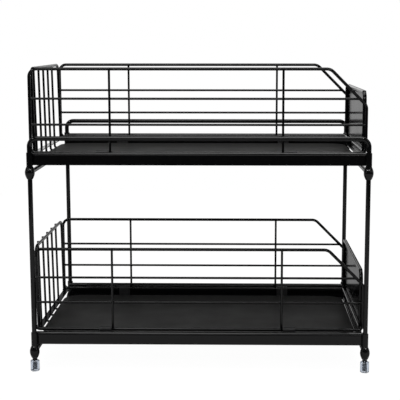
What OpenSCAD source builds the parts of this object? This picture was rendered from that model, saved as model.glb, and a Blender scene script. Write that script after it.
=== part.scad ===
// Two-tier under sink organizer: wire baskets that slide on side rails.
// Front (+X) is the end that pulls out, left is -Y. All sizes in millimetres.

/* [Stand] */
// Distance between post centres along the baskets
post_pitch_x = 424; // [390:1:520]
// Distance between post centres across the baskets
post_pitch_y = 290; // [270:1:360]
// Diameter of the posts, cross bars and guard rails
post_d = 6; // [5:0.5:7]
// Height of the lower tray's underside above the ground
tier_foot_z = 37; // [37:1:60]
// Height from the lower tier to the upper tier
tier_pitch = 232; // [200:1:320]
// Height of the guard rails' centre above the upper tray's underside
guard_rise = 31; // [26:1:50]
// Bend radius of the guard rails' corners
guard_bend = 10; // [8:1:12]

/* [Connectors] */
// Outer diameter of a connector's sleeve
sleeve_d = 8; // [8:0.5:9]
// Height of the sleeve's top above the tray's underside
sleeve_top = 13.5; // [12:0.5:16]
// Distance from the tray's underside down to the sleeve's lower end
sleeve_drop = 4; // [3.5:0.5:5]
// Largest diameter of a connector's bulb
bulb_d = 12.4; // [11.5:0.1:14]
// Height of the bulb
bulb_h = 16; // [14:0.5:18]
// Thickness of the bulb round the post at its lower end
bulb_neck = 0.6; // [0.4:0.1:1]
// Gap all round a rod in its bore
bore_gap = 0.05; // [0.03:0.01:0.08]

/* [Foot caps] */
// Outer diameter of a foot cap
cap_d = 11.4; // [10:0.1:13]
// Height of a foot cap
cap_h = 14; // [10:0.5:14.5]
// Thickness of the cap under the post
cap_floor = 2.5; // [1.5:0.5:4]
// Bevel of the cap's edges
cap_bevel = 0.8; // [0.4:0.1:1.2]

/* [Side rails] */
// Height of a side rail
rail_h = 16; // [15:0.5:16.5]
// Distance from the tray's underside down to the rails' underside
rail_drop = 3; // [2.5:0.5:3.5]
// Sheet thickness of a side rail
rail_t = 1.2; // [1:0.1:1.5]
// How far the shelves that the glides run on reach inward past the side walls' centres
shelf_reach = 5; // [5:0.5:8]
// Outer radius of the rolled top edge
roll_r = 4; // [3:0.5:4.5]
// Length of the rolled edge's inner lip
roll_lip = 1.5; // [1:0.5:3]

/* [Basket] */
// Distance between the centres of the basket's end rods
basket_l = 427.5; // [385:0.5:500]
// Distance between the centres of the two side walls
basket_w = 230; // [210:1:234]
// Distance from the rear posts' centres back to the basket's rear rods
basket_overhang = 4; // [2:0.5:8]
// Height of the bottom rods' centre above the tray's underside
rod_rise = 10; // [9:0.5:12]
// Height of the basket from bottom rod to top rod
basket_h = 106.5; // [95:0.5:150]
// Drop of the top rod at the front corner
front_drop = 46; // [30:1:48]
// Length over which the top rod drops
front_run = 46; // [30:1:60]
// Diameter of the frame rods
rod_d = 4; // [3.5:0.1:4.5]
// Diameter of the thin wires
wire_d = 3; // [2:0.1:3.2]
// Height of the lower side wire above the bottom rod
side_wire_low = 36; // [30:1:45]
// Height of the upper side wire above the bottom rod
side_wire_high = 69; // [60:1:74]
// Distance from the rear rod to the rear upright wire
upright_rear = 102; // [90:1:120]
// Distance from the rear rod to the front upright wire
upright_front = 322; // [280:1:330]
// Bend radius of the bottom corners
corner_bend = 6; // [5:0.5:7]
// Bend radius of the rear top corners
top_bend = 10; // [8:0.5:12]
// Bend radius where the top rod starts to drop
slope_bend = 12; // [10:1:24]
// How far welded wires sink into each other
weld_sink = 0.35; // [0.2:0.05:0.5]

/* [Rear grid] */
// Distance from a side wall to the rear grid's leg
grid_inset = 14; // [12:0.5:24]
// Number of thin wires between the legs
grid_wires = 5; // [3:1:7]
// Bend radius of the rear grid's top corners
grid_bend = 13; // [10:1:15]
// How far the thin wires stand above the top rod, or below its top
grid_tip = -0.5; // [-1:0.5:3]
// Lean of the rear grid, its foot forward, in degrees
grid_lean = 0.9; // [0.5:0.1:2]
// Bend radius at the foot of the thin wires
grid_foot_bend = 3; // [3:0.5:5]
// How far the wires reach under the tray
grid_lap = 12; // [8:1:20]
// Width of the flat strip across the basket's rear end
strip_w = 7.8; // [6:0.1:8]

/* [Front] */
// Height of the front frame from bottom bar to top bar
front_h = 75; // [60:1:76]
// Height of the front frame's bottom bar above the bottom rods
front_lift = 2; // [1.5:0.1:2.5]
// Distance from the front rods back to the front frame
front_set_back = 2.8; // [2:0.1:2.8]
// Sheet thickness of the front panel, the rear strip and the tray
sheet_t = 1; // [0.8:0.1:1.2]
// Width of the front panel's folded foot
panel_fold = 4; // [3:0.1:4]

/* [Tray] */
// Distance from the rear rods' centre to the tray
tray_gap_rear = 4.2; // [4:0.1:6]
// Distance from the front rods' centre to the tray
tray_gap_front = 6.7; // [6:0.1:9]
// Gap between the tray and the rails' shelves
tray_side_gap = 2.5; // [1.5:0.5:6]
// Corner radius of the tray
tray_corner = 25; // [12:1:30]
// Gap between the welded pieces of a basket
seat_gap = 0.1; // [0.05:0.05:0.2]

/* [Glides] */
// Length of a glide
glide_l = 16; // [12:0.5:20]
// Plastic above the rod
glide_crown = 1.6; // [1.2:0.1:2]
// Width of a glide's foot
glide_foot_w = 9; // [8:0.5:9.5]
// Height of a glide's foot
glide_foot_h = 2; // [1.5:0.5:3]
// Gap between a glide and its upright wire
glide_set_off = 0.5; // [0.3:0.1:3]
// Gap between a glide and the shelf
glide_gap = 0.3; // [0.2:0.05:0.5]

/* [Hidden] */
$fn = 32;
bulb_steps = 12;
bulb_fullness = 0.9;
cope_gap = 0.02;
joint_half_split = 0.1;
joint_swell = 0.1;

front = 1;
rear = -1;
left = -1;
right = 1;
lower = 0;
upper = 1;

post_x = post_pitch_x / 2;
post_y = post_pitch_y / 2;
bore_d = post_d + 2 * bore_gap;
bulb_top = -sleeve_drop;
bulb_bottom = bulb_top - bulb_h;
bulb_low_r = post_d / 2 + bulb_neck;
bulb_swell = bulb_d / 2 - (bulb_low_r + sleeve_d / 2) / 2;
bar_z = bulb_top - bulb_h / 2;
post_top = tier_foot_z + tier_pitch - sleeve_drop / 2;

basket_rear = -post_x - basket_overhang;
basket_front = basket_rear + basket_l;
side_y = basket_w / 2;
rod_r = rod_d / 2;
wire_r = wire_d / 2;
outer_wire_y = side_y + rod_r + wire_r - weld_sink;
bottom_z = rod_rise;
top_z = rod_rise + basket_h;
strip_z = bottom_z;
between_walls = side_y - rod_r - seat_gap;

tray_x0 = basket_rear + tray_gap_rear;
tray_x1 = basket_front - tray_gap_front;
rail_y = post_y - sleeve_d / 2 - cope_gap;
shelf_w = rail_y - side_y + shelf_reach;
tray_half_w = side_y - shelf_reach - tray_side_gap;

grid_x = basket_rear;
grid_wire_x = grid_x - rod_r - wire_r + weld_sink;
grid_w = basket_w - 2 * grid_inset;
grid_pitch = grid_w / (grid_wires + 1);
grid_end_x = tray_x0 + grid_lap;
grid_low_z = -wire_r - (grid_end_x - grid_x) * sin(grid_lean) - seat_gap;
strip_x0 = grid_wire_x + wire_r + (top_z - strip_z + sheet_t) * tan(grid_lean) + seat_gap;

front_x = basket_front - front_set_back;
front_leg_y = side_y - rod_d;
front_bottom_z = bottom_z + front_lift;
front_top_z = front_bottom_z + front_h;
panel_x = front_x + rod_r;
panel_wide_z = front_bottom_z - rod_r;
panel_top_z = front_top_z + rod_r;

glide_foot_z = rail_t + glide_gap - rail_drop;
glide_r = rod_r + glide_crown;
glide_rear_x = basket_rear + upright_rear - wire_r - glide_set_off - glide_l;
glide_front_x = basket_rear + upright_front + wire_r + glide_set_off;

// The object's centre along X, between the leaning grid's rearmost wire and the front bulbs
rearmost_x = grid_x + (grid_wire_x - wire_r - grid_x) * cos(grid_lean) - (rod_r + grid_tip) * sin(grid_lean);
centre_x = (post_x + bulb_d / 2 + rearmost_x) / 2;

painted_black = [0.06, 0.06, 0.065];
tray_black = [0.12, 0.12, 0.12];
glide_black = [0.03, 0.03, 0.03];
clear_plastic = [0.8, 0.84, 0.88, 0.6];

// Unit vector from point a to point b
function toward(a, b) = (b - a) / norm(b - a);

// Turn at point i of a path, positive anticlockwise
function turn(points, i) =
    let (u = toward(points[i - 1], points[i]), v = toward(points[i], points[i + 1]))
    atan2(u.x * v.y - u.y * v.x, u * v);

// Length that the bend at point i takes from each of its legs
function bend_cut(points, bends, i) =
    bends[i] == 0 ? 0 : bends[i] * tan(abs(turn(points, i)) / 2);

// A rod bent along points of a plane, with a bend radius for each point
module bent_rod(points, bends, d) {
    u = toward(points[0], points[1]);
    translate([points[0].x, points[0].y, 0])
        rotate([0, 0, atan2(u.y, u.x)])
            rod_from(1, points, bends, d);
}

// The leg that ends at point i, its bend and the rest of the rod, drawn from the leg's start along X
module rod_from(i, points, bends, d) {
    start_trim = joint_trim(points, bends, i - 1);
    end_trim = joint_trim(points, bends, i);
    run = norm(points[i] - points[i - 1]) - bend_cut(points, bends, i - 1) - bend_cut(points, bends, i);
    translate([start_trim, 0, 0]) leg(run - start_trim - end_trim, d);
    if (start_trim > 0)
        translate([-2 * start_trim, 0, 0]) leg(4 * start_trim, d + joint_swell);
    if (end_trim > 0)
        translate([run - 2 * end_trim, 0, 0]) leg(4 * end_trim, d + joint_swell);
    if (i < len(points) - 1) {
        angle = turn(points, i);
        trim_angle = end_trim / bends[i] * 180 / PI;
        translate([run, 0, 0])
            mirror([0, angle < 0 ? 1 : 0, 0])
                translate([0, bends[i], 0]) {
                    rotate([0, 0, trim_angle - 90])
                        rotate_extrude(angle = abs(angle) - 2 * trim_angle)
                            translate([bends[i], 0]) circle(d = d);
                    rotate([0, 0, abs(angle)])
                        translate([0, -bends[i], 0])
                            mirror([0, angle < 0 ? 1 : 0, 0])
                                rod_from(i + 1, points, bends, d);
                }
    }
}

// Straight rod of a given length along X
module leg(length, d) {
    rotate([0, 90, 0]) cylinder(d = d, h = length);
}

// Half the split between a leg and a bend that is not square, under a thin swage
function joint_trim(points, bends, i) =
    i < 1 || i > len(points) - 2 ? 0 : abs(abs(turn(points, i)) - 90) < 0.01 ? 0 : joint_half_split;

// A closed loop of rod, butt welded in the middle of the leg from its last point to its first
module rod_loop(points, bends, d) {
    last = points[len(points) - 1];
    weld = (points[0] + last) / 2;
    half = toward(last, points[0]) * weld_sink;
    bent_rod(concat([weld + half / 2], points, [weld - half / 2]), concat([0], bends, [0]), d);
    straight_rod(weld - half, weld + half, d + weld_sink);
}

// A straight rod between two points of a plane
module straight_rod(a, b, d) {
    bent_rod([a, b], [0, 0], d);
}

// Stands an XY drawing up in the plane y = 0, with its y along Z
module stand_along_x() {
    rotate([90, 0, 0]) children();
}

// Stands an XY drawing up in the plane x = 0, with its x along Y and its y along Z
module stand_along_y() {
    rotate([90, 0, 90]) children();
}

// Puts a piece at the level of its tier's tray underside
module at_tier(tier) {
    translate([-centre_x, 0, tier_foot_z + tier * tier_pitch]) children();
}

// A flat rounded rectangle from x0 to x1 and y0 to y1
module rounded_plate(x0, x1, y0, y1, r) {
    translate([x0, y0 + r]) square([x1 - x0, y1 - y0 - 2 * r]);
    translate([x0 + r, y0]) square([x1 - x0 - 2 * r, y1 - y0]);
    for (x = [x0 + r, x1 - r], y = [y0 + r, y1 - r])
        translate([x, y]) circle(r = r);
}

module foot_cap(end, side) {
    color(clear_plastic)
    translate([end * post_x - centre_x, side * post_y, 0])
        difference() {
            rotate_extrude()
                polygon([
                    [0, 0],
                    [cap_d / 2 - cap_bevel, 0],
                    [cap_d / 2, cap_bevel],
                    [cap_d / 2, cap_h - cap_bevel],
                    [cap_d / 2 - cap_bevel, cap_h],
                    [0, cap_h]
                ]);
            translate([0, 0, cap_floor]) cylinder(d = bore_d, h = cap_h);
        }
}

module post(end, side) {
    color(painted_black)
    translate([end * post_x - centre_x, side * post_y, cap_floor])
        cylinder(d = post_d, h = post_top - cap_floor);
}

// Point on the outline of the bulb, a tulip shape from the post at t = 0 to the sleeve at t = 1
function bulb_point(t) = [
    bulb_low_r + (sleeve_d / 2 - bulb_low_r) * t + bulb_swell * pow(sin(180 * t), bulb_fullness),
    bulb_bottom + bulb_h * t
];

module connector(tier, end, side) {
    color(painted_black)
    at_tier(tier)
        translate([end * post_x, side * post_y, 0])
            difference() {
                rotate_extrude()
                    polygon(concat(
                        [[0, bulb_bottom]],
                        [for (i = [0:bulb_steps]) bulb_point(i / bulb_steps)],
                        [[sleeve_d / 2, sleeve_top], [0, sleeve_top]]
                    ));
                translate([0, 0, bulb_bottom - 1])
                    cylinder(d = bore_d, h = sleeve_top - bulb_bottom + 2);
            }
}

module rail_profile() {
    square([shelf_w, rail_t]);
    square([rail_t, rail_h - roll_r]);
    translate([2 * roll_r - rail_t, rail_h - roll_r - roll_lip]) square([rail_t, roll_lip]);
    translate([roll_r, rail_h - roll_r])
        difference() {
            circle(r = roll_r);
            circle(r = roll_r - rail_t);
            translate([-2 * roll_r, -4 * roll_r]) square(4 * roll_r);
        }
}

module side_rail(tier, side) {
    color(painted_black)
    at_tier(tier)
        mirror([0, side == right ? 1 : 0, 0])
            translate([-post_x, -rail_y, -rail_drop])
                stand_along_y()
                    linear_extrude(post_pitch_x) rail_profile();
}

module cross_bar(tier, end) {
    color(painted_black)
    at_tier(tier)
        difference() {
            translate([end * post_x, post_y, bar_z])
                rotate([90, 0, 0])
                    cylinder(d = post_d, h = post_pitch_y);
            for (side = [left, right])
                translate([end * post_x, side * post_y, bulb_bottom])
                    cylinder(d = bulb_d + 2 * cope_gap, h = bulb_h);
        }
}

module guard_rail(side) {
    color(painted_black)
    at_tier(upper)
        translate([0, side * post_y, 0])
            stand_along_x()
                bent_rod(
                    [[-post_x, 0], [-post_x, guard_rise], [post_x, guard_rise], [post_x, 0]],
                    [0, guard_bend, guard_bend, 0],
                    post_d
                );
}

module side_wall(tier, side) {
    color(painted_black)
    at_tier(tier) {
        translate([0, side * side_y, 0])
            stand_along_x() {
                rod_loop(
                    [
                        [basket_rear, bottom_z],
                        [basket_rear, top_z],
                        [basket_front - front_run, top_z],
                        [basket_front, top_z - front_drop],
                        [basket_front, bottom_z]
                    ],
                    [corner_bend, top_bend, slope_bend, top_bend, corner_bend],
                    rod_d
                );
                side_wire(side_wire_low);
                side_wire(side_wire_high);
            }
        translate([0, side * outer_wire_y, 0])
            for (x = [upright_rear, upright_front])
                translate([basket_rear + x, 0, bottom_z])
                    cylinder(d = wire_d, h = basket_h);
    }
}

// A side wire from the rear rod to the front rod, or to the sloped rod above its foot
module side_wire(rise) {
    over_corner = max(rise - (basket_h - front_drop), 0);
    end_x = basket_front - over_corner * front_run / front_drop;
    straight_rod([basket_rear, bottom_z + rise], [end_x, bottom_z + rise], wire_d);
}

module rear_grid(tier) {
    leg_split = top_z - 2 * grid_bend;
    color(painted_black)
    at_tier(tier)
        translate([grid_x, 0, top_z])
            rotate([0, -grid_lean, 0])
                translate([-grid_x, 0, -top_z]) {
                    translate([grid_x, 0, 0])
                        stand_along_y()
                            bent_rod(
                                [
                                    [-grid_w / 2, leg_split],
                                    [-grid_w / 2, top_z],
                                    [grid_w / 2, top_z],
                                    [grid_w / 2, leg_split]
                                ],
                                [0, grid_bend, grid_bend, 0],
                                rod_d
                            );
                    for (side = [left, right])
                        translate([grid_x, side * grid_w / 2, strip_z + seat_gap])
                            cylinder(d = rod_d, h = leg_split - strip_z - seat_gap);
                    for (i = [1:grid_wires])
                        translate([0, i * grid_pitch - grid_w / 2, 0]) grid_wire();
                }
}

// A thin upright wire, bent forward at the foot to reach under the tray
module grid_wire() {
    stand_along_x()
        bent_rod(
            [
                [grid_wire_x, top_z + rod_r + grid_tip],
                [grid_wire_x, grid_low_z],
                [grid_end_x, grid_low_z]
            ],
            [0, grid_foot_bend, 0],
            wire_d
        );
}

module rear_strip(tier) {
    color(painted_black)
    at_tier(tier)
        translate([strip_x0, -between_walls, strip_z - sheet_t])
            cube([strip_w, 2 * between_walls, sheet_t]);
}

module front_frame(tier) {
    color(painted_black)
    at_tier(tier)
        translate([front_x, 0, 0])
            stand_along_y()
                rod_loop(
                    [
                        [-front_leg_y, front_bottom_z],
                        [-front_leg_y, front_top_z],
                        [front_leg_y, front_top_z],
                        [front_leg_y, front_bottom_z]
                    ],
                    [corner_bend, top_bend, top_bend, corner_bend],
                    rod_d
                );
}

// Outline of the front panel, narrower at its foot to pass between the rails' shelves
module panel_outline() {
    r = top_bend + rod_r;
    translate([-tray_half_w, 0]) square([2 * tray_half_w, panel_top_z - r]);
    translate([-between_walls, panel_wide_z]) square([2 * between_walls, panel_top_z - r - panel_wide_z]);
    translate([r - between_walls, panel_wide_z]) square([2 * (between_walls - r), panel_top_z - panel_wide_z]);
    for (side = [left, right])
        translate([side * (between_walls - r), panel_top_z - r]) circle(r = r);
}

module front_panel(tier) {
    color(painted_black)
    at_tier(tier) {
        translate([panel_x, 0, 0])
            stand_along_y()
                linear_extrude(sheet_t) panel_outline();
        translate([panel_x + sheet_t - panel_fold, -tray_half_w, 0])
            cube([panel_fold, 2 * tray_half_w, sheet_t]);
    }
}

module tray(tier) {
    color(tray_black)
    at_tier(tier)
        linear_extrude(sheet_t)
            rounded_plate(tray_x0, tray_x1, -tray_half_w, tray_half_w, tray_corner);
}

// A clip round the bottom rod
module glide_profile() {
    difference() {
        union() {
            translate([0, bottom_z]) circle(r = glide_r);
            translate([-glide_r, glide_foot_z]) square([2 * glide_r, bottom_z - glide_foot_z]);
            translate([-glide_foot_w / 2, glide_foot_z]) square([glide_foot_w, glide_foot_h]);
        }
        translate([0, bottom_z]) circle(d = rod_d + 2 * bore_gap);
    }
}

module glide(tier, end, side) {
    x = end == front ? glide_front_x : glide_rear_x;
    color(glide_black)
    at_tier(tier)
        mirror([0, side == right ? 1 : 0, 0])
            translate([x, -side_y, 0])
                stand_along_y()
                    linear_extrude(glide_l) glide_profile();
}

foot_cap(front, left);  // foot_cap_front_left
foot_cap(front, right);  // foot_cap_front_right
foot_cap(rear, left);  // foot_cap_rear_left
foot_cap(rear, right);  // foot_cap_rear_right
post(front, left);  // post_front_left
post(front, right);  // post_front_right
post(rear, left);  // post_rear_left
post(rear, right);  // post_rear_right
connector(lower, front, left);  // lower_connector_front_left
connector(lower, front, right);  // lower_connector_front_right
connector(lower, rear, left);  // lower_connector_rear_left
connector(lower, rear, right);  // lower_connector_rear_right
connector(upper, front, left);  // upper_connector_front_left
connector(upper, front, right);  // upper_connector_front_right
connector(upper, rear, left);  // upper_connector_rear_left
connector(upper, rear, right);  // upper_connector_rear_right
side_rail(lower, left);  // lower_rail_left
side_rail(lower, right);  // lower_rail_right
side_rail(upper, left);  // upper_rail_left
side_rail(upper, right);  // upper_rail_right
cross_bar(lower, front);  // lower_cross_bar_front
cross_bar(lower, rear);  // lower_cross_bar_rear
cross_bar(upper, front);  // upper_cross_bar_front
cross_bar(upper, rear);  // upper_cross_bar_rear
guard_rail(left);  // guard_rail_left
guard_rail(right);  // guard_rail_right
side_wall(lower, left);  // lower_side_wall_left
side_wall(lower, right);  // lower_side_wall_right
rear_grid(lower);  // lower_rear_grid
rear_strip(lower);  // lower_rear_strip
front_frame(lower);  // lower_front_frame
front_panel(lower);  // lower_front_panel
tray(lower);  // lower_tray
glide(lower, front, left);  // lower_glide_front_left
glide(lower, front, right);  // lower_glide_front_right
glide(lower, rear, left);  // lower_glide_rear_left
glide(lower, rear, right);  // lower_glide_rear_right
side_wall(upper, left);  // upper_side_wall_left
side_wall(upper, right);  // upper_side_wall_right
rear_grid(upper);  // upper_rear_grid
rear_strip(upper);  // upper_rear_strip
front_frame(upper);  // upper_front_frame
front_panel(upper);  // upper_front_panel
tray(upper);  // upper_tray
glide(upper, front, left);  // upper_glide_front_left
glide(upper, front, right);  // upper_glide_front_right
glide(upper, rear, left);  // upper_glide_rear_left
glide(upper, rear, right);  // upper_glide_rear_right
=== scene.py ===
"""Looks of a two-tier under sink organizer: painted wire baskets that slide in a painted stand.

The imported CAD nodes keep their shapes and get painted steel, nylon and clear vinyl materials.
Weld beads and nuggets are added where the real pieces are welded together.
Lengths of the object are in millimetres, because they repeat the CAD source's values, and the
`metres` helper turns them into the frame's metres. The stage, lamps and camera are in metres.
"""

import math
import random

import bmesh
import bpy
from mathutils import Matrix, Vector


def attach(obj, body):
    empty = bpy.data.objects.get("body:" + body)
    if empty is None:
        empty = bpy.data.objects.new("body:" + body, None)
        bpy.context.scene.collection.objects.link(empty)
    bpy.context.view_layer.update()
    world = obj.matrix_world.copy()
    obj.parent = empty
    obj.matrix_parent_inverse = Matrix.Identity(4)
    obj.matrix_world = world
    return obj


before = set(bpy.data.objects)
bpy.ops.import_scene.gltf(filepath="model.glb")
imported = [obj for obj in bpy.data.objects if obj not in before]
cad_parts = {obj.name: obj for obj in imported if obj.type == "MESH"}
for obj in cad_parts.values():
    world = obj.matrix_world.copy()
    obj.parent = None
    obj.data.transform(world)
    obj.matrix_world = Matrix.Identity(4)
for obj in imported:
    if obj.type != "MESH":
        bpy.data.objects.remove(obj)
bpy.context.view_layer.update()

MM = 1000  # in a metre
TURN = 2 * math.pi
X, Y, Z = Vector((1, 0, 0)), Vector((0, 1, 0)), Vector((0, 0, 1))

TIERS = ("lower", "upper")
SIDES = {"left": -1, "right": 1}
ENDS = {"rear": -1, "front": 1}

# The CAD source's values, in millimetres. Heights in a basket are above its tier's foot.
SHIFT_X = 1.236
TIER_FOOT = {"lower": 37.0, "upper": 269.0}

POST_X = 212.0
POST_Y = 145.0
BULB_R = 6.2
BULB_TOP = -4.0
BULB_H = 16.0
CROSS_BAR_R = 3.0
RAIL_FACE_Y = 140.98

BASKET_REAR = -216.0
BASKET_FRONT = 211.5
SIDE_Y = 115.0
BETWEEN_WALLS = 112.9
ROD_R = 2.0
WIRE_R = 1.5
BOTTOM_Z = 10.0
TOP_Z = 116.5
FRONT_CORNER_Z = 70.5
SIDE_WIRE_Z = (46.0, 79.0)
UPRIGHT_X = (-114.0, 106.0)
UPRIGHT_Y = 118.15

GRID_WIRE_X = -219.15
GRID_WIRES_Y = (-67.33, -33.67, 0.0, 33.67, 67.33)
GRID_LEG_Y = 101.0
GRID_LEAN = math.radians(0.9)
STRIP_REAR_X = -215.86
STRIP_Z = 10.0
STRIP_T = 1.0
FRONT_X = 208.7
FRONT_LEG_Y = 111.0

# Weld nuggets, in millimetres: half sizes along the three axes that each is added with
CROSSING_NUGGET = (1.75, 1.85, 0.95)
WIRE_END_NUGGET = (1.75, 1.75, 1.3)
GRID_TOP_NUGGET = (1.75, 1.9, 0.95)
GRID_FOOT_NUGGET = (1.7, 0.9, 0.8)
FRONT_NUGGET = (1.5, 1.1, 2.6)
FRONT_NUGGET_Z = (24.0, 60.0)
NUGGET_TURNS = 12
NUGGET_RINGS = 7
NUGGET_LUMP = 0.06
PHASE_SPAN = 6.28  # about a whole turn

# Weld beads, in millimetres: STEP is between the points of a path
BEAD_TURNS = 10
BEAD_WOBBLE = 0.03
BEAD_END_SIZE = 0.45
ASKEW = Vector((0.31, 0.52, 0.79))  # a direction that no bead runs along
STEP = 0.5
LEG_BEAD_R = 0.55
LEG_RING_OUT = 0.2
LEG_RING_UP = 0.25
LEG_RING_POINTS = 28
STRIP_BEAD_R = 0.6
STRIP_BEAD_START = 0.6
STRIP_BEAD_OUT = 0.05
STRIP_BEAD_UP = 0.3
STRIP_BEAD_POINTS = 14
RAIL_BEAD_R = 0.8
RAIL_BEAD_IN = 2.6
RAIL_BEAD_OUT = 0.5
RAIL_BEAD_FOOT = -2.4
RAIL_BEAD_POINTS = 22
BAR_BEAD_R = 0.7
BAR_RING_OUT = 0.25
BAR_RING_PROUD = 0.1
BAR_RING_POINTS = 36

# The photograph's camera, in metres, degrees and millimetres of lens
CAMERA_PLACE = (0.0520, -1.4487, 0.4214)
CAMERA_PITCH = 8.65
CAMERA_YAW = 0.955
CAMERA_LENS = 94.57
CAMERA_SHIFT = -0.055
CAMERA_NEAREST = 0.05
SENSOR = 36.0

# The stage and its light
WHITE = (1, 1, 1, 1)
FLOOR_R = 1.5
FLOOR_SIDES = 48
FLOOR_PAPER = ((0.33, 0.33, 0.33), (0.37, 0.37, 0.37))
FLOOR_VEIL = (0.06, 0.06, 0.06, 1)
FLOOR_GLOW = 0.975
ROOM_LIGHT = 0.5
AIM = (0, 0, 0.2)
LAMPS = (  # name, place, target, width, height, radiance
    ("overhead", (0.1, -0.1, 1.7), (0, 0, 0), 1.9, 0.9, 3.0),
    ("front_box", (0, -1.8, 1.15), AIM, 1.3, 0.22, 2.5),
    ("left_glint", (-1.1, -1.5, 1.2), AIM, 0.16, 0.16, 30),
    ("right_glint", (0.7, -1.8, 1.3), AIM, 0.16, 0.16, 30),
    ("right_strip", (1.3, -1.0, 0.9), AIM, 0.3, 0.9, 1.6),
    ("left_strip", (-1.4, -0.8, 0.8), AIM, 0.3, 0.9, 0.8),
)

# Colours, from dark to pale
PAINT = ((0.0015, 0.0015, 0.0018), (0.004, 0.004, 0.0042))
TRAY_PAINT = ((0.0105, 0.0105, 0.010), (0.017, 0.017, 0.016))
NYLON = ((0.008, 0.008, 0.008), (0.016, 0.016, 0.017))
CLEAR_VINYL = ((0.44, 0.49, 0.57), (0.62, 0.67, 0.74))


def metres(x, y, z):
    """A point of the CAD source in the frame's metres."""
    return Vector(((x + SHIFT_X) / MM, y / MM, z / MM))


def link_object(name, data):
    """A new object in the scene."""
    made = bpy.data.objects.new(name, data)
    bpy.context.scene.collection.objects.link(made)
    return made


# Materials


def add_node(tree, kind, **settings):
    """A new node. A setting is an input's value if the node has such an input."""
    node = tree.nodes.new(kind)
    for key, value in settings.items():
        if key in node.inputs:
            node.inputs[key].default_value = value
        else:
            setattr(node, key, value)
    return node


def noise(tree, place, cells, detail=2.0, roughness=0.5):
    """Noise of so many cells per metre."""
    node = add_node(tree, "ShaderNodeTexNoise", Scale=cells, Detail=detail, Roughness=roughness)
    tree.links.new(place, node.inputs["Vector"])
    return node.outputs["Fac"]


def spread(tree, value, low, high, start=0.3, end=0.7):
    """A value between start and end, spread over low to high."""
    node = add_node(tree, "ShaderNodeMapRange")
    node.inputs["From Min"].default_value = start
    node.inputs["From Max"].default_value = end
    node.inputs["To Min"].default_value = low
    node.inputs["To Max"].default_value = high
    tree.links.new(value, node.inputs["Value"])
    return node.outputs["Result"]


def two_tones(tree, value, tones):
    """A colour between two others, by a value."""
    node = add_node(tree, "ShaderNodeMix", data_type="RGBA")
    colours = [socket for socket in node.inputs if socket.type == "RGBA"]
    for socket, tone in zip(colours, tones):
        socket.default_value = (*tone, 1)
    tree.links.new(value, node.inputs["Factor"])
    return next(socket for socket in node.outputs if socket.type == "RGBA")


def bumps(tree, layers):
    """A chain of bump nodes, from (height, strength, distance in mm) layers."""
    normal = None
    for height, strength, distance in layers:
        node = add_node(tree, "ShaderNodeBump", Strength=strength, Distance=distance / MM)
        tree.links.new(height, node.inputs["Height"])
        if normal:
            tree.links.new(normal, node.inputs["Normal"])
        normal = node.outputs["Normal"]
    return normal


def new_material(name):
    """An empty node material: the material, its tree and its surface socket."""
    material = bpy.data.materials.new(name)
    material.use_nodes = True
    tree = material.node_tree
    tree.nodes.clear()
    output = add_node(tree, "ShaderNodeOutputMaterial")
    return material, tree, output.inputs["Surface"]


def object_place(tree):
    """Coordinates in metres that stay with the object."""
    return add_node(tree, "ShaderNodeTexCoord").outputs["Object"]


def new_finish(name, **settings):
    """A material with one principled shader: the material, tree, inputs and object coordinates."""
    material, tree, surface = new_material(name)
    shader = add_node(tree, "ShaderNodeBsdfPrincipled", **settings)
    tree.links.new(shader.outputs["BSDF"], surface)
    return material, tree, shader.inputs, object_place(tree)


def paint(name, tones, gloss, peel):
    """Baked paint on steel: an orange peel of so many mm, faint dust and uneven gloss."""
    material, tree, inputs, place = new_finish(name)
    clouds = noise(tree, place, cells=28, detail=3)
    peel_height = noise(tree, place, cells=520, detail=1.5)
    grain = noise(tree, place, cells=2600, detail=2)
    dust = noise(tree, place, cells=4200, detail=4, roughness=0.7)
    dust = spread(tree, dust, low=0, high=1, start=0.35, end=0.8)
    normal = bumps(tree, [(peel_height, 0.5, peel), (grain, 0.25, peel / 5)])
    tree.links.new(two_tones(tree, dust, tones), inputs["Base Color"])
    tree.links.new(spread(tree, clouds, *gloss), inputs["Roughness"])
    tree.links.new(normal, inputs["Normal"])
    return material


def nylon(name):
    """Moulded black nylon with a fine spark-eroded grain."""
    material, tree, inputs, place = new_finish(name)
    grain = noise(tree, place, cells=3200, detail=3)
    clouds = noise(tree, place, cells=160, detail=2)
    tree.links.new(two_tones(tree, clouds, NYLON), inputs["Base Color"])
    tree.links.new(spread(tree, grain, low=0.32, high=0.5), inputs["Roughness"])
    tree.links.new(bumps(tree, [(grain, 0.4, 0.03)]), inputs["Normal"])
    return material


def clear_vinyl(name):
    """Soft clear vinyl with a blue grey cast and slight flow lines."""
    material, tree, inputs, place = new_finish(name, IOR=1.45)
    inputs["Transmission Weight"].default_value = 0.93
    flow = noise(tree, place, cells=420, detail=2)
    haze = noise(tree, place, cells=1500, detail=2)
    tree.links.new(two_tones(tree, haze, CLEAR_VINYL), inputs["Base Color"])
    tree.links.new(spread(tree, haze, low=0.05, high=0.16), inputs["Roughness"])
    tree.links.new(bumps(tree, [(flow, 0.4, 0.08)]), inputs["Normal"])
    return material


def make_materials():
    """The materials by the names of the record's slots."""
    return {
        "frame_paint": paint("frame_paint", PAINT, gloss=(0.08, 0.13), peel=0.006),
        "wire_paint": paint("wire_paint", PAINT, gloss=(0.09, 0.14), peel=0.005),
        "panel_paint": paint("panel_paint", PAINT, gloss=(0.12, 0.17), peel=0.005),
        "tray_paint": paint("tray_paint", TRAY_PAINT, gloss=(0.42, 0.50), peel=0.012),
        "glide_plastic": nylon("glide_plastic"),
        "clear_plastic": clear_vinyl("clear_plastic"),
    }


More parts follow.
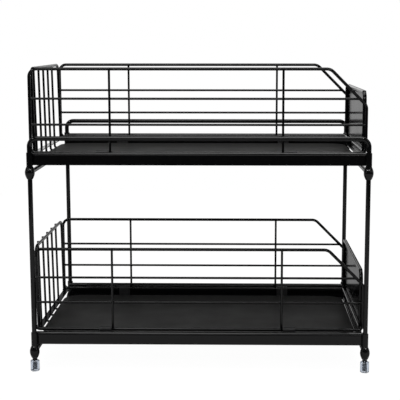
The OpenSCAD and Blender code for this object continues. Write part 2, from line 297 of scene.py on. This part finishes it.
def slot_of(node):
    """The material slot of a CAD node, by its name."""
    if node.startswith("foot_cap"):
        return "clear_plastic"
    if "glide" in node:
        return "glide_plastic"
    if "tray" in node:
        return "tray_paint"
    if "front_panel" in node:
        return "panel_paint"
    if any(word in node for word in ("wall", "grid", "front_frame", "strip")):
        return "wire_paint"
    return "frame_paint"


def dress_cad(materials):
    """Gives every CAD node its slot's material."""
    for name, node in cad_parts.items():
        material = materials[slot_of(name)]
        if not node.material_slots:
            node.data.materials.append(material)
        for slot in node.material_slots:
            slot.material = material


# Welds


def finish_piece(name, mesh, body, slot, materials):
    """Turns a bmesh into a smooth piece that rides on a body."""
    data = bpy.data.meshes.new(name)
    mesh.to_mesh(data)
    mesh.free()
    for face in data.polygons:
        face.use_smooth = True
    data.materials.append(materials[slot])
    piece = link_object(name, data)
    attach(piece, body)


def add_nugget(mesh, place, axes, half_sizes, rng):
    """A lumpy weld nugget at a place: axes are three unit vectors, half sizes are in mm."""
    turned = Matrix(axes).transposed()
    phases = [rng.uniform(0, PHASE_SPAN) for _ in range(3)]
    rings = []
    for i in range(1, NUGGET_RINGS):
        tilt = math.pi * i / NUGGET_RINGS
        ring = []
        for j in range(NUGGET_TURNS):
            angle = TURN * j / NUGGET_TURNS
            swell = 1 + NUGGET_LUMP * (
                math.sin(2 * angle + phases[0]) * math.sin(3 * tilt + phases[1])
                + math.sin(5 * angle + phases[2]) / 2
            )
            unit = (
                math.sin(tilt) * math.cos(angle),
                math.sin(tilt) * math.sin(angle),
                math.cos(tilt),
            )
            point = Vector([part * half for part, half in zip(unit, half_sizes)])
            ring.append(mesh.verts.new(place + turned @ (point * swell) / MM))
        rings.append(ring)
    tip = turned @ Vector((0, 0, half_sizes[2])) / MM
    top = mesh.verts.new(place + tip)
    foot = mesh.verts.new(place - tip)
    for j in range(NUGGET_TURNS):
        k = (j + 1) % NUGGET_TURNS
        mesh.faces.new((top, rings[0][j], rings[0][k]))
        mesh.faces.new((foot, rings[-1][k], rings[-1][j]))
        for high, low in zip(rings, rings[1:]):
            mesh.faces.new((high[j], low[j], low[k], high[k]))


def add_bead(mesh, path, radius, rng, ripple=0.14, pitch=1.1, closed=False):
    """A rippled weld bead along a path of points in metres. Radius and ripple pitch are in mm."""
    last = len(path) - 1
    rings = []
    run = 0.0
    for i, point in enumerate(path):
        ahead = path[(i + 1) % len(path)] if closed else path[min(i + 1, last)]
        behind = path[i - 1] if closed or i else path[0]
        along = (ahead - behind).normalized()
        if i:
            run += (point - path[i - 1]).length * MM
        across = along.cross(ASKEW).normalized()
        up = along.cross(across)
        wave = ripple * math.sin(TURN * run / pitch)
        size = radius * (1 + wave + rng.uniform(-BEAD_WOBBLE, BEAD_WOBBLE))
        if not closed:
            taper = min(i, last - i) / 2
            size *= min(1.0, BEAD_END_SIZE + (1 - BEAD_END_SIZE) * taper)
        ring = []
        for j in range(BEAD_TURNS):
            angle = TURN * j / BEAD_TURNS
            spoke = across * math.cos(angle) + up * math.sin(angle)
            ring.append(mesh.verts.new(point + spoke * size / MM))
        rings.append(ring)
    pairs = list(zip(rings, rings[1:]))
    if closed:
        pairs.append((rings[-1], rings[0]))
    for low, high in pairs:
        for j in range(BEAD_TURNS):
            k = (j + 1) % BEAD_TURNS
            mesh.faces.new((low[j], low[k], high[k], high[j]))
    if not closed:
        mesh.faces.new(rings[0][::-1])
        mesh.faces.new(rings[-1])


def add_ring(mesh, path, radius, rng):
    """A closed fillet bead round a rod."""
    add_bead(mesh, path, radius, rng, ripple=0.12, pitch=1.3, closed=True)


def side_wall_welds(tier, side, materials):
    """Nuggets where the uprights cross the rods and wires, and where the wires end on rods."""
    rng = random.Random(f"{tier}{side}")
    mesh = bmesh.new()
    way = SIDES[side]
    foot = TIER_FOOT[tier]
    crossings = [(BOTTOM_Z, ROD_R), (TOP_Z, ROD_R), *((z, WIRE_R) for z in SIDE_WIRE_Z)]
    for x in UPRIGHT_X:
        for z, radius in crossings:
            touch_y = (SIDE_Y + radius + UPRIGHT_Y - WIRE_R) / 2
            place = metres(x, way * touch_y, foot + z)
            add_nugget(mesh, place, (X, Z, Y * way), CROSSING_NUGGET, rng)
    for z in SIDE_WIRE_Z:
        slope = max(z - FRONT_CORNER_Z, 0)
        for x in (BASKET_REAR + ROD_R, BASKET_FRONT - slope - ROD_R):
            place = metres(x, way * SIDE_Y, foot + z)
            add_nugget(mesh, place, (Y, Z, X), WIRE_END_NUGGET, rng)
    finish_piece(f"{tier}_side_welds_{side}", mesh, f"{tier}_basket", "wire_paint", materials)


def leaning_x(x, z):
    """The X of a rear grid's wire at a height, by the grid's lean about its top rod."""
    return x + (TOP_Z - z) * math.tan(GRID_LEAN)


def rear_welds(tier, materials):
    """Nuggets on the rear grid's thin wires, rings round its legs and beads at the strip's ends."""
    rng = random.Random(f"{tier}rear")
    mesh = bmesh.new()
    foot = TIER_FOOT[tier]
    strip_low = STRIP_Z - STRIP_T / 2
    top_x = (BASKET_REAR - ROD_R + GRID_WIRE_X + WIRE_R) / 2
    foot_x = leaning_x(GRID_WIRE_X, strip_low) + WIRE_R
    for y in GRID_WIRES_Y:
        place = metres(top_x, y, foot + TOP_Z)
        add_nugget(mesh, place, (Y, Z, X), GRID_TOP_NUGGET, rng)
        place = metres(foot_x, y, foot + strip_low)
        add_nugget(mesh, place, (Y, Z, X), GRID_FOOT_NUGGET, rng)
    leg_x = leaning_x(BASKET_REAR, STRIP_Z)
    ring_r = ROD_R + LEG_RING_OUT
    start_x = STRIP_REAR_X + STRIP_BEAD_START
    for way in SIDES.values():
        centre = metres(leg_x, way * GRID_LEG_Y, foot + STRIP_Z + LEG_RING_UP)
        ring = []
        for i in range(LEG_RING_POINTS):
            angle = TURN * i / LEG_RING_POINTS
            ring.append(centre + (X * math.cos(angle) + Y * math.sin(angle)) * ring_r / MM)
        add_ring(mesh, ring, LEG_BEAD_R, rng)
        end_y = way * (BETWEEN_WALLS + STRIP_BEAD_OUT)
        end_z = foot + STRIP_Z + STRIP_BEAD_UP
        path = [metres(start_x + STEP * i, end_y, end_z) for i in range(STRIP_BEAD_POINTS)]
        add_bead(mesh, path, STRIP_BEAD_R, rng)
    finish_piece(f"{tier}_rear_welds", mesh, f"{tier}_basket", "wire_paint", materials)


def front_welds(tier, materials):
    """Upright nuggets that join the front frame's legs to the side walls' front rods."""
    rng = random.Random(f"{tier}front")
    mesh = bmesh.new()
    foot = TIER_FOOT[tier]
    for way in SIDES.values():
        middle_x = (FRONT_X + BASKET_FRONT) / 2
        middle_y = way * (FRONT_LEG_Y + SIDE_Y) / 2
        along = Vector((BASKET_FRONT - FRONT_X, way * (SIDE_Y - FRONT_LEG_Y), 0)).normalized()
        for z in FRONT_NUGGET_Z:
            place = metres(middle_x, middle_y, foot + z)
            add_nugget(mesh, place, (along, Z.cross(along), Z), FRONT_NUGGET, rng)
    finish_piece(f"{tier}_front_welds", mesh, f"{tier}_basket", "wire_paint", materials)


def stand_welds(tier, materials):
    """Upright beads between rails and sleeves, and rings round the cross bars at the bulbs."""
    rng = random.Random(f"{tier}stand")
    mesh = bmesh.new()
    foot = TIER_FOOT[tier]
    bar_z = foot + BULB_TOP - BULB_H / 2
    ring_r = CROSS_BAR_R + BAR_RING_OUT
    for end in ENDS.values():
        for way in SIDES.values():
            rail_x = end * (POST_X - RAIL_BEAD_IN)
            rail_y = way * (RAIL_FACE_Y + RAIL_BEAD_OUT)
            path = [
                metres(rail_x, rail_y, foot + RAIL_BEAD_FOOT + STEP * i)
                for i in range(RAIL_BEAD_POINTS)
            ]
            add_bead(mesh, path, RAIL_BEAD_R, rng)
            ring = []
            for i in range(BAR_RING_POINTS):
                angle = TURN * i / BAR_RING_POINTS
                ring_x = ring_r * math.cos(angle)
                ring_y = math.sqrt(BULB_R**2 - ring_x**2) + BAR_RING_PROUD
                ring_z = bar_z + ring_r * math.sin(angle)
                ring.append(metres(end * POST_X + ring_x, way * (POST_Y - ring_y), ring_z))
            add_ring(mesh, ring, BAR_BEAD_R, rng)
    finish_piece(f"{tier}_stand_welds", mesh, "stand", "frame_paint", materials)


def make_welds(materials):
    for tier in TIERS:
        for side in SIDES:
            side_wall_welds(tier, side, materials)
        rear_welds(tier, materials)
        front_welds(tier, materials)
        stand_welds(tier, materials)


# Stage, lights and camera


def mix_shaders(tree, factor, first, second):
    """The first shader where the factor is 0 and the second where it is 1."""
    node = add_node(tree, "ShaderNodeMixShader")
    for socket, source in zip(node.inputs, (factor, first, second)):
        tree.links.new(source, socket)
    return node.outputs["Shader"]


def calculate(tree, operation, first, second):
    """A math node of two values."""
    node = add_node(tree, "ShaderNodeMath", operation=operation)
    tree.links.new(first, node.inputs[0])
    tree.links.new(second, node.inputs[1])
    return node.outputs["Value"]


def shown_white(tree, lit, white):
    """A white shader for what the camera sees, also through the vinyl, and a lit one elsewhere."""
    path = add_node(tree, "ShaderNodeLightPath").outputs
    seen = calculate(tree, "MAXIMUM", path["Is Camera Ray"], path["Is Transmission Ray"])
    return mix_shaders(tree, seen, lit, white)


def make_floor():
    """A white floor that still takes the object's shadow, and is pale paper for other rays."""
    mesh = bmesh.new()
    rim = []
    for i in range(FLOOR_SIDES):
        angle = TURN * i / FLOOR_SIDES
        rim.append(mesh.verts.new((FLOOR_R * math.cos(angle), FLOOR_R * math.sin(angle), 0)))
    mesh.faces.new(rim)
    data = bpy.data.meshes.new("floor")
    mesh.to_mesh(data)
    mesh.free()
    material, tree, surface = new_material("floor_paper")
    fibre = noise(tree, object_place(tree), cells=900, detail=3)
    paper = add_node(tree, "ShaderNodeBsdfDiffuse")
    tree.links.new(two_tones(tree, fibre, FLOOR_PAPER), paper.inputs["Color"])
    veil = add_node(tree, "ShaderNodeBsdfDiffuse", Color=FLOOR_VEIL)
    glow = add_node(tree, "ShaderNodeEmission", Color=WHITE, Strength=FLOOR_GLOW)
    both = add_node(tree, "ShaderNodeAddShader")
    tree.links.new(veil.outputs["BSDF"], both.inputs[0])
    tree.links.new(glow.outputs["Emission"], both.inputs[1])
    tree.links.new(shown_white(tree, paper.outputs["BSDF"], both.outputs["Shader"]), surface)
    data.materials.append(material)
    link_object("floor", data)


def make_world():
    """A plain studio, white where the camera looks.

    Mirror rays see a lit band above the horizon behind the object, and near darkness elsewhere,
    as if under a dark ceiling and before a dark camera side.
    """
    world = bpy.data.worlds.new("studio")
    bpy.context.scene.world = world
    world.use_nodes = True
    tree = world.node_tree
    tree.nodes.clear()
    output = add_node(tree, "ShaderNodeOutputWorld")
    way = add_node(tree, "ShaderNodeSeparateXYZ")
    tree.links.new(add_node(tree, "ShaderNodeTexCoord").outputs["Generated"], way.inputs[0])
    behind = spread(tree, way.outputs["Y"], low=0.05, high=1.0, start=0.0, end=0.5)
    ceiling = spread(tree, way.outputs["Z"], low=1.0, high=0.08, start=0.08, end=0.24)
    horizon = spread(tree, way.outputs["Z"], low=0.42, high=1.0, start=-0.03, end=0.07)
    band = calculate(tree, "MULTIPLY", behind, horizon)
    band = calculate(tree, "MULTIPLY", band, ceiling)
    mirror = add_node(tree, "ShaderNodeBackground", Color=WHITE)
    tree.links.new(band, mirror.inputs["Strength"])
    lit = add_node(tree, "ShaderNodeBackground", Color=WHITE, Strength=ROOM_LIGHT)
    white = add_node(tree, "ShaderNodeBackground", Color=WHITE, Strength=1.0)
    glossy = add_node(tree, "ShaderNodeLightPath").outputs["Is Glossy Ray"]
    room = mix_shaders(tree, glossy, lit.outputs["Background"], mirror.outputs["Background"])
    shown = shown_white(tree, room, white.outputs["Background"])
    tree.links.new(shown, output.inputs["Surface"])


def add_lamp(name, place, target, width, height, radiance):
    """A soft box of a given radiance, which faces its target."""
    data = bpy.data.lights.new(name, "AREA")
    data.shape = "RECTANGLE"
    data.size = width
    data.size_y = height
    data.energy = radiance * math.pi * width * height
    lamp = link_object(name, data)
    lamp.location = place
    lamp.rotation_euler = (Vector(target) - Vector(place)).to_track_quat("-Z", "Y").to_euler()


def make_camera():
    data = bpy.data.cameras.new("photo_camera")
    data.sensor_width = SENSOR
    data.sensor_fit = "HORIZONTAL"
    data.lens = CAMERA_LENS
    data.shift_x = CAMERA_SHIFT
    data.clip_start = CAMERA_NEAREST
    camera = link_object("photo_camera", data)
    camera.location = CAMERA_PLACE
    camera.rotation_euler = (math.radians(90 - CAMERA_PITCH), 0, math.radians(CAMERA_YAW))
    bpy.context.scene.camera = camera


def main():
    bpy.context.scene.view_settings.view_transform = "Standard"
    materials = make_materials()
    dress_cad(materials)
    make_welds(materials)
    make_floor()
    make_world()
    for lamp in LAMPS:
        add_lamp(*lamp)
    make_camera()


main()
